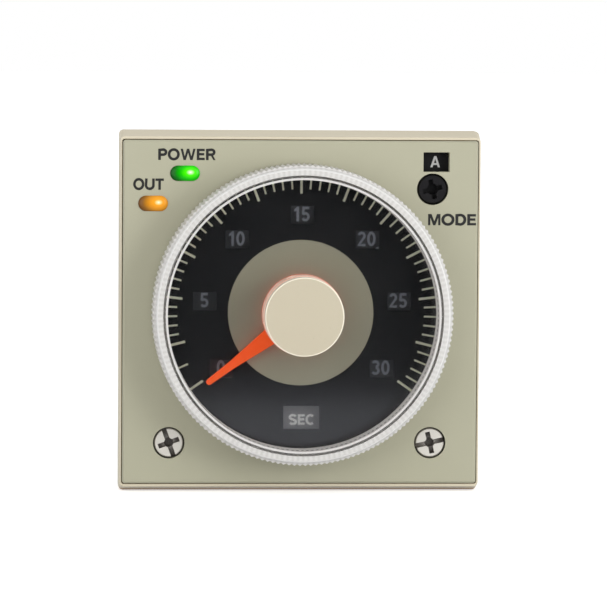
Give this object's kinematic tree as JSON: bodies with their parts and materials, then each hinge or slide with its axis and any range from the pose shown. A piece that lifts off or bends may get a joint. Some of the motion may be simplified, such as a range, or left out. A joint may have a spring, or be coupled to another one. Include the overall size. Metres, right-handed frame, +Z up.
{
  "type": "timer relay",
  "caption": "Square-fronted plug-in timer relay with a clear knurled setting dial, geared numeral and unit rings, screwdriver selectors and an octal plug.",
  "frame": {"origin": "centre of the pin circle on the rear face of the base", "axes": "+X to the right seen from the front, +Y out of the back along the plug, +Z up; the front faces -Y"},
  "size_m": [0.048, 0.0816, 0.048],
  "materials": {
    "cream_abs": "fine matt",
    "grey_abs": "fine matt",
    "black_film": "satin",
    "white_abs": "matt",
    "green_lens": "clear gloss",
    "orange_lens": "clear gloss",
    "clear_epoxy": "gloss",
    "dark_phenolic": "matt",
    "brown_phenolic": "matt",
    "green_laminate": "satin",
    "can_sleeve": "gloss",
    "yellow_epoxy": "satin",
    "blue_epoxy": "satin",
    "black_phenolic": "satin",
    "nickel_brass": "bright",
    "clear_acrylic": "polished",
    "orange_abs": "satin",
    "bronze": "satin",
    "ivory_abs": "satin",
    "black_abs": "satin",
    "charcoal_abs": "satin",
    "slate_abs": "satin"
  },
  "bodies": {
    "case": {"housing": "cream_abs", "front_panel": "grey_abs", "scale_plate": "black_film", "chassis": "white_abs", "power_lens": "green_lens", "output_lens": "orange_lens", "power_led": "clear_epoxy", "output_led": "clear_epoxy", "pot_case": "dark_phenolic", "pot_track": "brown_phenolic", "range_switch": "dark_phenolic", "unit_switch": "dark_phenolic", "mode_switch": "dark_phenolic", "front_board": "green_laminate", "main_board": "green_laminate", "terminal_board": "green_laminate", "output_relay": "dark_phenolic", "smoothing_capacitor": "can_sleeve", "timing_capacitor": "can_sleeve", "film_capacitor": "yellow_epoxy", "varistor": "blue_epoxy", "bridge_rectifier": "dark_phenolic", "timer_chip": "dark_phenolic", "base": "black_phenolic", "base_pins": "nickel_brass"},
    "dial": {"setting_dial": "clear_acrylic", "dial_pointer": "orange_abs", "knob_cap": "cream_abs", "dial_shaft": "white_abs", "pot_wiper": "bronze"},
    "range_selector": {"range_selector": "ivory_abs"},
    "numeral_ring": {"numeral_ring": "charcoal_abs"},
    "unit_selector": {"unit_selector": "ivory_abs"},
    "unit_ring": {"unit_ring": "slate_abs"},
    "mode_selector": {"mode_selector": "black_abs"}
  },
  "joints": [
    {"name": "dial_turn", "type": "hinge", "parent": "case", "child": "dial", "pos_m": [0, -0.0583, 0], "axis": [0, 1, 0], "range_deg": [0, 253.8]},
    {"name": "range_turn", "type": "hinge", "parent": "case", "child": "range_selector", "pos_m": [-0.01739, -0.0583, -0.01739], "axis": [0, 1, 0], "range_deg": [-150, 0]},
    {"name": "numeral_turn", "type": "hinge", "parent": "case", "child": "numeral_ring", "pos_m": [0, -0.0583, 0], "axis": [0, 1, 0], "range_deg": [0, 31]},
    {"name": "unit_turn", "type": "hinge", "parent": "case", "child": "unit_selector", "pos_m": [0.01739, -0.0583, -0.01739], "axis": [0, 1, 0], "range_deg": [0, 300]},
    {"name": "unit_ring_turn", "type": "hinge", "parent": "case", "child": "unit_ring", "pos_m": [0, -0.0583, 0], "axis": [0, 1, 0], "range_deg": [-62, 0]},
    {"name": "mode_turn", "type": "hinge", "parent": "case", "child": "mode_selector", "pos_m": [0.0175, -0.0583, 0.0164], "axis": [0, 1, 0], "range_deg": [0, 300]}
  ],
  "couplings": [
    {"joint": "numeral_turn", "follows": "range_turn", "ratio": -0.20588},
    {"joint": "unit_ring_turn", "follows": "unit_turn", "ratio": -0.20588}
  ]
}
